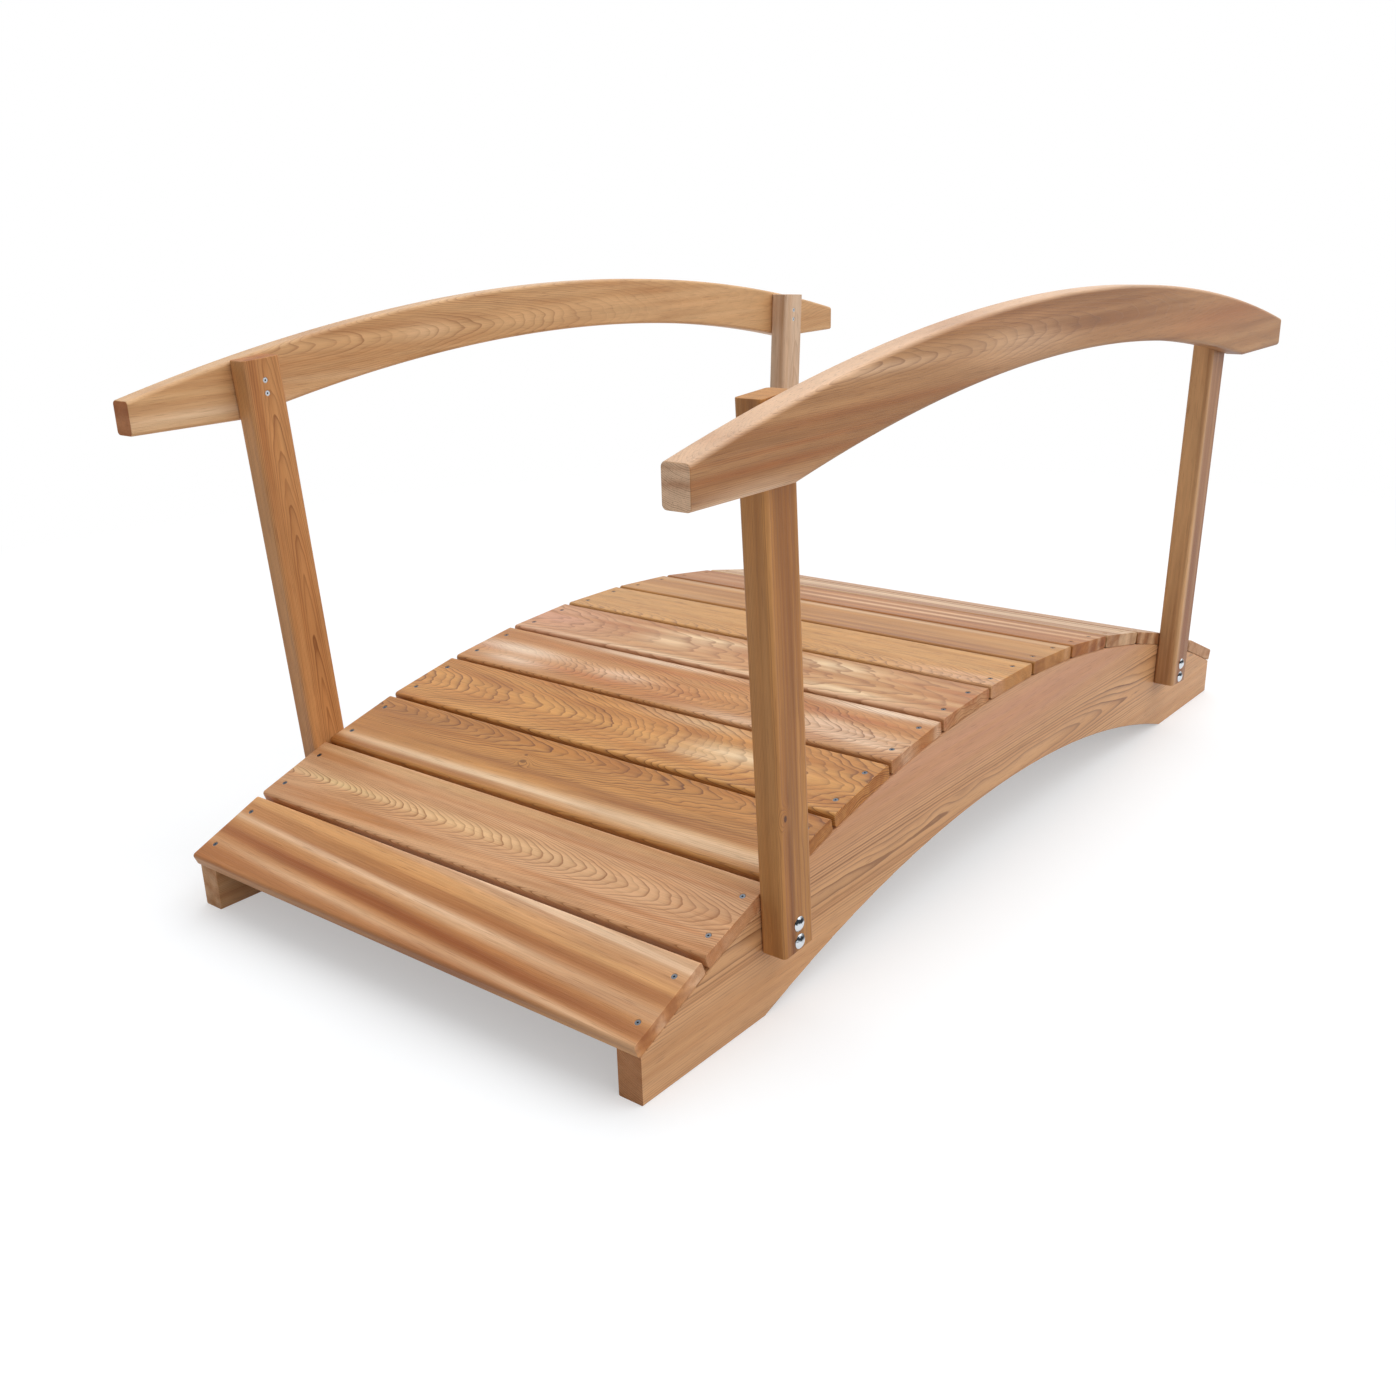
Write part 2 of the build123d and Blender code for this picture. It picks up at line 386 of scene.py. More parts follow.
def cedarMaterial(name, place, turn, grain, look):
    material = bpy.data.materials.new(name)
    material.use_nodes = True
    tree = material.node_tree
    tree.nodes.clear()
    where = put(tree, "ShaderNodeTexCoord").outputs
    sockets = {"Vector": where["Object"], "Location": place, "Rotation": turn, "Scale": (0.001,) * 3}
    board = put(tree, "ShaderNodeMapping", sockets, vector_type="TEXTURE").outputs[0]
    if look["skew"]:  # the grain runs off the board's own line
        along = put(tree, "ShaderNodeSeparateXYZ", {0: board}).outputs[0]
        off = calc(tree, "MULTIPLY", along, look["skew"])
        board = vectorCalc(tree, "ADD", board, put(tree, "ShaderNodeCombineXYZ", {1: off}).outputs[0])
    swell, knot = 0.0, 0.0
    for along, across, halfLength, halfWidth, lift in look["eyes"]:
        oval = hump(tree, board, along, across, halfLength, halfWidth)
        swell = calc(tree, "MULTIPLY_ADD", oval, lift, swell)
    for along, across, radius in look["knots"]:
        reach = (knotForm["partedLength"] * radius, knotForm["partedWidth"] * radius)
        swell = calc(tree, "MULTIPLY_ADD", hump(tree, board, along, across, *reach),
                     knotForm["lift"] * radius, swell)
        heart = hump(tree, board, along, across, knotForm["heartLength"] * radius, radius)
        knot = calc(tree, "MAXIMUM", knot, stretch(tree, heart, 0.3, 0.6))
    figure = put(tree, "ShaderNodeGroup", node_tree=cedarFigure)
    values = {
        "Place": board, "Pith Across": look["pith"][0], "Pith Deep": look["pith"][1],
        "Slope": look["slope"], "Ring Width": look["ringWidth"], "Meander": look["meander"],
        "Wobble": look["wobble"], "Ripple": look["ripple"], "Swell": swell, "Seed": look["seed"],
    }
    for key, value in values.items():
        if isinstance(value, bpy.types.NodeSocket):
            tree.links.new(value, figure.inputs[key])
        else:
            figure.inputs[key].default_value = value
    made = figure.outputs

    facing = put(tree, "ShaderNodeVectorMath", {0: where["Normal"], 1: grain}, operation="DOT_PRODUCT")
    squarely = calc(tree, "ABSOLUTE", facing.outputs["Value"])
    endGrain = stretch(tree, squarely, cedarSurface["endStart"], cedarSurface["endFull"])

    def tinted(colour, amount, share, tint):  # turned to a tint by an amount and a share
        return blendColour(tree, calc(tree, "MULTIPLY", amount, share), colour, tint)

    def changed(value, amount, change):  # grown by the change where the amount is 1
        return calc(tree, "MULTIPLY", value, calc(tree, "MULTIPLY_ADD", amount, change, 1.0))

    base, band, streak, line, pale = (tone(*look[key]) for key in ("base", "band", "streak", "line", "pale"))
    colour = tinted(base, made["Bands"], look["bandShare"], band)
    colour = tinted(colour, made["Streaks"], look["streakShare"], streak)
    paintedTopLight = 0.0
    # painted top light: faces that look up are blended toward the pale tone, as if lit from above
    if look["topPaintedLight"]:
        upward = put(tree, "ShaderNodeSeparateXYZ", {0: where["Normal"]}).outputs[2]
        paintedTopLight = stretch(tree, upward, 0.1, 1.0, 0.0, look["topPaintedLight"])
        colour = blendColour(tree, paintedTopLight, colour, pale)
    # painted light on end grain: end faces are blended toward the pale tone
    if look["endPaintedLight"]:
        colour = tinted(colour, endGrain, look["endPaintedLight"], pale)
    for kind, patchTone in (("stains", tone(*look["deep"])), ("patches", pale)):
        for along, across, halfLength, halfWidth, share in look[kind]:
            fall = hump(tree, board, along, across, halfLength, halfWidth)
            uneven = stretch(tree, made["Streaks"], 0.0, 0.6, 0.5 * share, share)
            colour = tinted(colour, fall, uneven, patchTone)

    # ring lines, flecks and knots
    spread, lineShare = cedarSurface["ringSpread"], look["lineShare"]
    strength = calc(tree, "MULTIPLY_ADD", made["Ring Tone"], spread * lineShare, (1 - spread) * lineShare)
    strength = changed(strength, endGrain, cedarSurface["endLines"])
    if look["topPaintedLight"]:
        strength = changed(strength, paintedTopLight, cedarSurface["topLines"])
    for along, across, halfLength, halfWidth, share in look["calm"]:
        strength = changed(strength, hump(tree, board, along, across, halfLength, halfWidth), -share)
    colour = tinted(colour, made["Late"], strength, line)
    colour = tinted(colour, made["Flecks"], look["fleckShare"], line)
    if look["knots"]:
        colour = tinted(colour, knot, look["knotShare"], knotTone)

    # light and dark of the fibre, and the end grain's own tint
    shade = calc(tree, "MULTIPLY_ADD", made["Fibre"], look["fibreShare"], 1.0 - look["fibreShare"] / 2)
    mottle = calc(tree, "SUBTRACT", made["Mottle"], 0.5)
    shade = calc(tree, "ADD", shade, calc(tree, "MULTIPLY", mottle, look["mottleShare"]))
    colour = put(tree, "ShaderNodeVectorMath", {0: colour, "Scale": shade}, operation="SCALE").outputs[0]
    cut = calc(tree, "MULTIPLY", endGrain, look["endShade"])
    sockets = {0: cut, 6: colour, 7: cedarSurface["endTint"]}
    colour = put(tree, "ShaderNodeMix", sockets, data_type="RGBA", blend_type="MULTIPLY").outputs[2]

    roughness = cedarSurface["roughness"]
    for amount, key in ((made["Fibre"], "fibre"), (made["Late"], "late"), (endGrain, "end")):
        roughness = calc(tree, "MULTIPLY_ADD", amount, cedarSurface[key + "Roughness"], roughness)
    height = calc(tree, "MULTIPLY", made["Late"], cedarSurface["lateRelief"])
    height = calc(tree, "MULTIPLY_ADD", made["Fibre"], cedarSurface["fibreRelief"], height)
    height = calc(tree, "MULTIPLY_ADD", made["Flecks"], cedarSurface["fleckRelief"], height)
    bump = put(tree, "ShaderNodeBump", {
        "Height": height, "Strength": cedarSurface["relief"], "Distance": cedarSurface["reliefDepth"],
    })
    shader = put(tree, "ShaderNodeBsdfPrincipled", {
        "Base Color": colour, "Roughness": roughness, "Normal": bump.outputs[0],
        "Specular IOR Level": cedarSurface["specular"],
    })
    put(tree, "ShaderNodeOutputMaterial", {"Surface": shader.outputs[0]})
    return material


def wear(name, material):  # a piece takes its finish
    piece = pieces[name]
    piece.data.materials.clear()
    piece.data.materials.append(material)


# deck planks: grain across the bridge, each plank with its own cut of the log

plankLooks = {
    1: {"base": (217, 158, 98), "band": (160, 93, 42), "streak": (233, 178, 122), "bandShare": 0.85,
        "streakShare": 0.4, "lineShare": 0.12, "pith": (160, -330), "slope": 0.0, "skew": 0.05,
        "meander": 5, "wobble": 1.5,
        "patches": ((0, -4, 800, 6, 0.85), (-240, 5, 320, 6, 0.6), (-220, -76, 480, 22, 1.0),
                    (160, 52, 300, 7, 0.45), (-300, 46, 200, 5, 0.5)),
        "stains": ((60, 72, 640, 18, 0.5), (80, 28, 640, 11, 1.0), (-60, 32, 260, 5, 0.8),
                   (0, -30, 700, 5, 0.5), (-160, -21, 460, 7, 0.6),
                   (-260, 65, 270, 12, 0.8)),
        "deep": (146, 78, 29), "pale": (243, 206, 169)},
    2: {"base": (219, 168, 121), "band": (190, 125, 71), "streak": (230, 184, 142), "lineShare": 0.9,
        "line": (150, 93, 48), "pith": (8, -45), "slope": -0.07, "ringWidth": 1.35, "meander": 4,
        "wobble": 2, "pale": (239, 206, 152),
        "patches": ((330, 4, 110, 6, 0.9), (60, 2, 240, 12, 0.5), (-60, -58, 500, 8, 0.5)),
        "stains": ((-200, -34, 360, 4, 0.55), (-280, 40, 260, 5, 0.6), (300, 42, 200, 6, 0.5)),
        "deep": (188, 117, 58)},
    3: {"base": (190, 129, 66), "band": (158, 97, 47), "streak": (216, 160, 94), "pith": (-46, -48),
        "slope": -0.09, "ringWidth": 2.4, "meander": 10, "wobble": 6, "ripple": 1.6, "lineShare": 1.0,
        "line": (118, 70, 36), "knots": ((71.0, -7.0, 4.5), (78.0, -22.0, 2.5)), "knotShare": 0.6,
        "patches": ((0, 47, 620, 10, 0.9), (-300, 42, 220, 14, 0.6)), "calm": ((0, 45, 700, 30, 0.8),),
        "stains": ((-60, 10, 420, 8, 0.5), (340, -30, 140, 20, 0.4))},
    4: {"base": (206, 144, 79), "band": (182, 119, 60), "streak": (219, 164, 96), "line": (116, 65, 26),
        "pith": (6, -110), "slope": -0.15, "ringWidth": 3.2, "meander": 10, "wobble": 7,
        "ripple": 1.5, "lineShare": 0.95, "bandShare": 0.9,
        "patches": ((-120, -56, 100, 9, 0.9), (-230, -2, 80, 16, 0.95), (-180, 22, 70, 10, 0.6)),
        "pale": (244, 214, 172), "calm": ((-190, 0, 90, 40, 0.7),)},
    5: {"base": (191, 132, 76), "band": (179, 110, 58), "streak": (213, 158, 101), "line": (120, 68, 31),
        "pith": (18, -85), "slope": -0.13, "ringWidth": 2.2, "meander": 8, "wobble": 6,
        "ripple": 1.5, "lineShare": 0.8, "pale": (246, 217, 188),
        "patches": ((350, 0, 110, 18, 1.0), (330, 40, 70, 15, 0.8), (110, -60, 170, 8, 0.9),
                    (110, 10, 70, 16, 0.6), (-290, 14, 60, 24, 0.7), (-180, 56, 100, 10, 0.9),
                    (-380, 34, 90, 26, 0.9), (-350, -58, 120, 13, 1.0)),
        "stains": ((-320, -22, 110, 10, 0.9), (410, 8, 45, 13, 0.9), (60, -34, 240, 8, 0.5),
                   (180, 34, 140, 9, 0.6)),
        "deep": (186, 108, 58),
        "calm": ((340, 12, 110, 40, 0.9), (-420, -40, 70, 24, 0.8))},
    6: {"base": (194, 141, 91), "band": (183, 121, 76), "streak": (217, 175, 129),
        "line": (146, 91, 50), "pith": (0, -120), "slope": -0.11, "ringWidth": 6.0, "meander": 14,
        "wobble": 10, "ripple": 2.6, "lineShare": 0.7, "bandShare": 1.0,
        "patches": ((70, -28, 90, 20, 1.0), (130, -2, 60, 20, 0.7), (-190, -32, 70, 18, 0.9),
                    (-250, 46, 80, 12, 0.8), (60, 60, 300, 8, 0.7)),
        "pale": (246, 219, 178), "stains": ((400, 0, 110, 60, 0.9), (100, 66, 420, 12, 0.7)),
        "deep": (211, 156, 127)},
    7: {"base": (209, 154, 91), "band": (193, 138, 76), "streak": (217, 168, 108), "lineShare": 0.8,
        "pith": (62, -60), "slope": -0.1, "fleckShare": 0.8, "bandShare": 0.9, "ringWidth": 2.2,
        "ripple": 1.8, "mottleShare": 0.24, "patches": ((-400, 52, 120, 20, 0.9),),
        "pale": (228, 182, 148), "calm": ((0, -50, 700, 40, 0.6),)},
    8: {"base": (190, 135, 72), "band": (165, 110, 57), "streak": (205, 154, 95), "lineShare": 0.3,
        "pith": (50, -160), "slope": -0.02, "fleckShare": 0.25, "bandShare": 1.0,
        "stains": ((-100, 34, 300, 6, 0.6), (-220, 60, 420, 7, 0.9)),
        "patches": ((0, -52, 600, 9, 0.5),)},
    9: {"base": (169, 106, 48), "band": (128, 67, 24), "streak": (195, 136, 78), "bandShare": 0.9,
        "lineShare": 0.3, "pith": (-60, -200), "slope": 0.01, "skew": -0.02,
        "patches": ((-100, 4, 400, 8, 0.6), (-200, -32, 400, 7, 0.6)),
        "stains": ((0, 58, 500, 8, 0.6), (-100, -14, 500, 6, 0.8), (-300, -52, 250, 6, 0.7))},
    10: {"base": (207, 170, 129), "band": (172, 124, 79), "streak": (225, 196, 161), "lineShare": 0.25,
         "pith": (-60, -260), "slope": 0.01, "bandShare": 1.0,
         "stains": ((0, 44, 600, 12, 1.0), (-150, 22, 520, 8, 1.0), (100, -44, 600, 7, 1.0)),
         "patches": ((0, -16, 700, 14, 0.8),), "deep": (146, 88, 42)},
    11: {"base": (187, 138, 93), "band": (152, 99, 55), "streak": (218, 180, 138), "lineShare": 0.4,
         "pith": (60, -240), "slope": -0.01, "bandShare": 1.0,
         "stains": ((0, -30, 700, 8, 1.0), (0, 20, 700, 7, 1.0), (0, 64, 700, 7, 0.8)),
         "patches": ((0, 44, 700, 9, 1.0), (0, -6, 700, 8, 0.8), (0, -56, 700, 7, 0.7)),
         "pale": (232, 194, 150), "deep": (130, 76, 36)},
    12: {"base": (169, 115, 69), "band": (134, 81, 41), "streak": (199, 154, 106), "lineShare": 0.45,
         "pith": (10, -60), "slope": 0.06, "bandShare": 1.0,
         "stains": ((0, 0, 700, 9, 1.0), (0, -50, 700, 7, 1.0), (0, 60, 700, 7, 0.8)),
         "patches": ((0, 30, 700, 10, 1.0), (0, -26, 700, 8, 0.8)),
         "pale": (226, 185, 138), "deep": (122, 70, 30)},
    13: {"base": (207, 167, 130), "band": (181, 132, 91), "streak": (223, 188, 152), "lineShare": 0.35,
         "pith": (-90, -220), "slope": 0.01, "bandShare": 0.9},
}

plankThickness = 0.022            # metres
postLength = 0.701
plankSeedStep = 11.7              # gives each plank its own figure
crownPlank = middleOf("plank_07")
endPlank = middleOf("plank_01")
deckDrop = crownPlank.z - endPlank.z
deckRadius = (endPlank.x ** 2 + deckDrop ** 2) / (2 * deckDrop)


def plankTurn(name):  # lean of a plank about the bridge's width, from its place on the deck's arc
    middle = middleOf(name)
    return atan2(middle.x, middle.z - crownPlank.z + deckRadius)


for number, ownLook in plankLooks.items():
    name = "plank_%02d" % number
    lean = plankTurn(name)
    axes = Matrix(((0, 1, 0), (-cos(lean), 0, sin(lean)), (sin(lean), 0, cos(lean)))).transposed()
    look = {**cedarLook, "seed": plankSeedStep * number, **ownLook}
    finish = cedarMaterial("cedarPlank%02d" % number, middleOf(name), axes.to_euler(), (0, 1, 0), look)
    wear(name, finish)
print("deck finished")


# handrails, cut to the same lines as the CAD but in an even mesh, so that their long edges run true

railShape = {                     # metres; length, width and heights come from the CAD piece
    "rise": 0.106,                # of the top, from its ends to its crown
    "crownDepth": 0.082,
    "levelLength": 0.185,         # of the underside, from each end
    "edgeRound": 0.006,
    "endRound": 0.0015,
    "roundSteps": 6,
    "spacing": 0.012,             # between cross-sections
    "crispHalf": 0.0001,          # half the step over the corner of the underside
}


def arch(x, halfSpan, foot, rise):  # height and slope of an arc that stands on two feet
    radius = (halfSpan ** 2 + rise ** 2) / (2 * rise)
    drop = sqrt(radius ** 2 - x ** 2)
    return foot + rise - radius + drop, -x / drop


def railStations(half, level, shape):  # along the rail: place, inset and lean of the end round
    stations = []
    steps, soft = shape["roundSteps"], shape["endRound"]
    for step in range(steps):
        turn = pi / 2 * step / steps
        stations.append((-half + soft * (1 - cos(turn)), soft * (1 - sin(turn)), -cos(turn)))
    stations.append((-half + soft, 0.0, 0.0))
    crisp = shape["crispHalf"]
    count = round((half - level) / shape["spacing"])
    for step in range(1, count):
        stations.append((-half + soft + (half - level - soft) * step / count, 0.0, 0.0))
    stations += [(-level - crisp, 0.0, 0.0), (-level + crisp, 0.0, 0.0)]
    count = round(level / shape["spacing"])
    for step in range(1, count):
        stations.append((-level + level * step / count, 0.0, 0.0))
    mirrored = [(-x, inset, -lean) for x, inset, lean in reversed(stations)]
    return stations + [(0.0, 0.0, 0.0)] + mirrored


def makeRail(node, name, shape):
    low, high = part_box(node)
    half = high.x
    level = half - shape["levelLength"]
    edge, steps = shape["edgeRound"], shape["roundSteps"]
    archRise = high.z - shape["crownDepth"] - low.z
    points, normals, faces = [], [], []
    stations = railStations(half, level, shape)
    for x, inset, lean in stations:
        top, topSlope = arch(x, half, high.z - shape["rise"], shape["rise"])
        bottom, bottomSlope = low.z, 0.0
        if abs(x) < level:
            bottom, bottomSlope = arch(x, level, low.z, archRise)
        centres = ((high.y - edge, top - edge), (low.y + edge, top - edge),
                   (low.y + edge, bottom + edge), (high.y - edge, bottom + edge))
        for corner, (y, z) in enumerate(centres):
            for step in range(steps + 1):
                turn = pi / 2 * (corner + step / steps)
                slope = topSlope if corner < 2 else bottomSlope
                points.append((x, y + (edge - inset) * cos(turn), z + (edge - inset) * sin(turn)))
                side = Vector((-slope * sin(turn), cos(turn), sin(turn))).normalized()
                normals.append(Vector((lean, 0, 0)) + sqrt(1 - lean ** 2) * side)
    ring = 4 * (steps + 1)
    for start in range(0, ring * (len(stations) - 1), ring):
        for step in range(ring):
            after = (step + 1) % ring
            faces.append((start + step, start + after, start + ring + after, start + ring + step))
    faces.append(tuple(reversed(range(ring))))
    faces.append(tuple(range(len(points) - ring, len(points))))
    mesh = bpy.data.meshes.new(name)
    mesh.from_pydata(points, [], faces)
    mesh.shade_smooth()
    mesh.normals_split_custom_set_from_vertices(normals)
    piece = bpy.data.objects.new(name, mesh)
    scene.collection.objects.link(piece)
    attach(piece, "root")
    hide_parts(node)
    return piece


for side in ("Right", "Left"):
    node = "handrail_" + side.lower()
    pieces[node] = makeRail(node, "handrail" + side, railShape)
print("handrails made")


# stringers and handrails: grain along the bridge; posts: grain along their lean

beamLooks = {
    "stringer_right": {
        "base": (209, 158, 110), "band": (191, 135, 87), "streak": (218, 169, 124),
        "line": (112, 64, 28),
        "pith": (-10.5, 47), "slope": -0.004, "ringWidth": 3.4, "meander": 3, "wobble": 1.6,
        "ripple": 0.4, "bandShare": 0.6, "streakShare": 0.4, "lineShare": 1.0, "mottleShare": 0.18,
        "endShade": 0.42, "seed": 201.0,
        "eyes": ((-360, -1, 90, 13, 5.5), (-270, -1, 34, 8, 3.0), (-150, 0, 44, 9, 4.5),
                 (-20, 0, 60, 10, 3.0), (640, 0, 300, 26, 18.0)),
        "patches": ((0, 84, 700, 44, 0.8),), "pale": (197, 138, 107),
        "stains": ((-700, -3, 26, 6, 0.6), (-480, 17, 420, 1.4, 0.6), (-440, 26, 420, 1.2, 0.55),
                   (-560, -30, 460, 1.5, 0.7), (-520, -37, 440, 1.3, 0.6)),
        "deep": (132, 80, 40),
        "calm": ((0, 92, 2200, 46, 1.0), (-640, -88, 480, 48, 1.0), (800, -70, 260, 60, 0.8))},
    "stringer_left": {
        "base": (206, 156, 108), "band": (184, 128, 84), "pith": (-30, 60), "slope": -0.03,
        "ringWidth": 2.6, "meander": 6, "wobble": 3, "endShade": 0.15, "seed": 222.0},
    "handrail_right": {
        "base": (166, 116, 71), "band": (138, 87, 47), "streak": (195, 147, 100), "line": (112, 66, 35),
        "pith": (32, 62), "slope": -0.045, "ringWidth": 2.1, "meander": 6, "wobble": 4,
        # the top and end-grain tones here include painted light
        "lineShare": 0.55, "endShade": 0.0, "endPaintedLight": 0.95, "seed": 241.0, "topPaintedLight": 0.75,
        "pale": (240, 201, 166),
        "patches": ((-800, -77, 120, 11, 1.0), (-560, 26, 160, 6, 0.5), (-180, 24, 150, 22, 0.4)),
        "stains": ((620, 0, 300, 26, 0.6), (-760, -50, 200, 5, 0.8), (-560, -14, 260, 5, 0.7),
                   (-700, -34, 220, 3, 0.6), (-330, 60, 260, 10, 0.3)),
        "deep": (160, 92, 42), "calm": ((420, 0, 460, 90, 1.0),)},
    "handrail_left": {
        "base": (208, 162, 113), "band": (187, 134, 85), "streak": (223, 181, 133), "pith": (18, -50),
        "slope": 0.07, "ringWidth": 2.2, "meander": 7, "wobble": 4, "lineShare": 0.65, "seed": 262.0,
        # the top tone here includes painted top light
        "topPaintedLight": 0.2, "endShade": 0.85,
        "patches": ((-800, -60, 200, 14, 0.8), (-420, -30, 200, 8, 0.4), (-330, 20, 60, 16, 0.3)),
        "stains": ((-420, 34, 240, 6, 0.5),), "deep": (171, 113, 64),
        "calm": ((-800, -30, 160, 90, 1.0), (420, 0, 460, 90, 1.0), (-400, -60, 300, 30, 0.7),
                 (-370, 20, 60, 60, 0.6))},
}
beamAxes = Matrix(((1, 0, 0), (0, 0, 1), (0, -1, 0))).transposed()

for name, ownLook in beamLooks.items():
    look = {**cedarLook, **ownLook}
    wear(name, cedarMaterial("cedar_" + name, middleOf(name), beamAxes.to_euler(), (1, 0, 0), look))

postLean = radians(3.5)
postLooks = {
    "post_near_right": {"base": (172, 112, 54), "band": (118, 66, 28), "streak": (193, 136, 75),
                        "bandShare": 1.0, "streakShare": 0.8, "lineShare": 0.7, "pith": (70, 230),
                        "slope": 0.0, "knots": ((-155.0, -20.0, 3.4),), "knotShare": 1.0,
                        "stains": ((0, -12, 900, 2.2, 0.3), (0, 6, 900, 1.4, 0.25)),
                        "patches": ((0, 14, 900, 3, 0.4), (0, -33, 900, 9, 0.7)),
                        # the end-grain tone here includes painted light on the post's top
                        "pale": (206, 150, 92), "deep": (110, 64, 26), "endShade": 0.0, "endPaintedLight": 0.8,
                        "seed": 301.0},
    "post_near_left": {"base": (202, 143, 87), "band": (171, 110, 62), "streak": (217, 162, 106),
                       "line": (131, 76, 40), "lineShare": 0.85, "pith": (4, -42), "slope": 0.035,
                       "ringWidth": 2.2, "seed": 322.0},
    "post_far_right": {"base": (141, 87, 49), "band": (120, 67, 33), "streak": (174, 127, 91),
                       "streakShare": 0.8, "lineShare": 0.25, "pith": (60, 240), "slope": 0.0,
                       "seed": 343.0, "patches": ((0, -36, 700, 18, 1.0), (190, 0, 200, 60, 0.3)),
                       "pale": (222, 173, 122)},
    "post_far_left": {"base": (215, 180, 147), "band": (188, 145, 107), "streak": (233, 210, 185),
                      "lineShare": 0.35, "pith": (10, -80), "slope": 0.03, "seed": 364.0},
}

for name, ownLook in postLooks.items():
    lean = postLean if "far" in name else -postLean
    grain = (sin(lean), 0, cos(lean))
    axes = Matrix((grain, (cos(lean), 0, -sin(lean)), (0, 1, 0))).transposed()
    look = {**cedarLook, "meander": 4, "wobble": 2, **ownLook}
    wear(name, cedarMaterial("cedar_" + name, middleOf(name), axes.to_euler(), grain, look))
print("beams, rails and posts finished")


# zinc fasteners

zincSurface = {
    "cloudSize": (420, 420, 420),     # repeats of the clouds and scratches in a metre
    "scratchSize": (300, 2600, 2600),
    "reflectionBandWander": 0.5,                # of the painted dark reflection band, with the clouds
    "reflectionBandEdge": 0.45,                 # where the painted dark reflection band starts to clear
    "cloudRoughness": 0.16,
    "relief": 0.12,
    "reliefDepth": 0.0001,            # metres
}
zincLooks = {                     # tones from 0 to 255; painted reflection: dark where the plating's normal has a Z near the band's place, as if the plating mirrored a dark wall between a bright ceiling and floor
    "zincBolt": {"bright": (214, 219, 224), "reflectedDark": (34, 38, 42), "reflectedDarkAt": 0.38, "reflectedDarkWidth": 0.26,
                 "roughness": 0.08},
    "zincNut": {"bright": (190, 194, 198), "reflectedDark": (84, 88, 92), "reflectedDarkAt": 0.38, "reflectedDarkWidth": 0.26,
                "roughness": 0.22},
    "zincScrew": {"bright": (188, 193, 198), "reflectedDark": (92, 97, 103), "reflectedDarkAt": 1.0, "reflectedDarkWidth": 0.6,
                  "roughness": 0.24},
    # painted shade: the screw recess gets a dark finish for the shade inside it
    "zincRecessShade": {"bright": (70, 76, 82), "reflectedDark": (34, 37, 41), "reflectedDarkAt": 1.0, "reflectedDarkWidth": 0.6,
                   "roughness": 0.45},
}


def zincMaterial(name, look):  # plating that clouds, with a painted dark reflection band
    material = bpy.data.materials.new(name)
    material.use_nodes = True
    tree = material.node_tree
    tree.nodes.clear()
    where = put(tree, "ShaderNodeTexCoord").outputs
    cloudPlace = vectorCalc(tree, "MULTIPLY", where["Object"], zincSurface["cloudSize"])
    cloudy = cloud(tree, cloudPlace, 3.0).outputs[0]
    scratchPlace = vectorCalc(tree, "MULTIPLY", where["Object"], zincSurface["scratchSize"])
    scratch = cloud(tree, scratchPlace, 2.0).outputs[0]
    # painted reflection: a dark band set by the normal's Z and moved by the clouds
    upward = put(tree, "ShaderNodeSeparateXYZ", {0: where["Normal"]}).outputs[2]
    wander = zincSurface["reflectionBandWander"]
    wandered = calc(tree, "MULTIPLY_ADD", cloudy, wander, -wander / 2 - look["reflectedDarkAt"])
    upward = calc(tree, "ADD", upward, wandered)
    off = calc(tree, "DIVIDE", calc(tree, "ABSOLUTE", upward), look["reflectedDarkWidth"])
    shown = stretch(tree, off, zincSurface["reflectionBandEdge"], 1.0)
    tint = blendColour(tree, shown, tone(*look["reflectedDark"]), tone(*look["bright"]))
    shine = calc(tree, "MULTIPLY_ADD", cloudy, zincSurface["cloudRoughness"], look["roughness"])
    bump = put(tree, "ShaderNodeBump", {
        "Height": scratch, "Strength": zincSurface["relief"], "Distance": zincSurface["reliefDepth"],
    })
    shader = put(tree, "ShaderNodeBsdfPrincipled", {
        "Base Color": tint, "Metallic": 1.0, "Roughness": shine, "Normal": bump.outputs[0],
    })
    put(tree, "ShaderNodeOutputMaterial", {"Surface": shader.outputs[0]})
    return material


boltZinc, nutZinc, screwZinc, recessShadeZinc = (zincMaterial(*item) for item in zincLooks.items())
for name in pieces:
    if name.startswith("carriage_bolts"):
        wear(name, boltZinc)
    elif name.startswith("bolt_nuts"):
        wear(name, nutZinc)
print("bolts and nuts finished")


# screws, two in each end of a plank and two through the head of each post into the handrail

screwSizes = {                    # metres
    "Head Width": 0.0084,
    "Rim": 0.0004,
    "Countersink": 0.0027,
    "Shank Width": 0.0042,
    "Length": 0.048,
    "Point": 0.007,
    "Recess Width": 0.0030,
    "Recess Depth": 0.0018,
    "Sunk": 0.0007,
}
screwForm = {
    "sides": 24,
    "topShare": 0.93,             # width of the head's top in the head's width
    "tipRadius": 0.0003,          # metres
    "recessTaper": 0.7,           # width of the recess's floor in the recess's width
    "halfDiagonal": 0.7071,       # of a square that is 1 wide
    "touch": 0.0001,              # metres, how near counts as at the recess
}
screwPlaces = {                   # metres
    "deckSpread": 0.0375,         # from a plank's middle line
    "deckReach": 0.4255,          # from the bridge's middle
    "postHeights": (0.669, 0.650),  # up the post from its foot
    "turnSeed": 7,
}


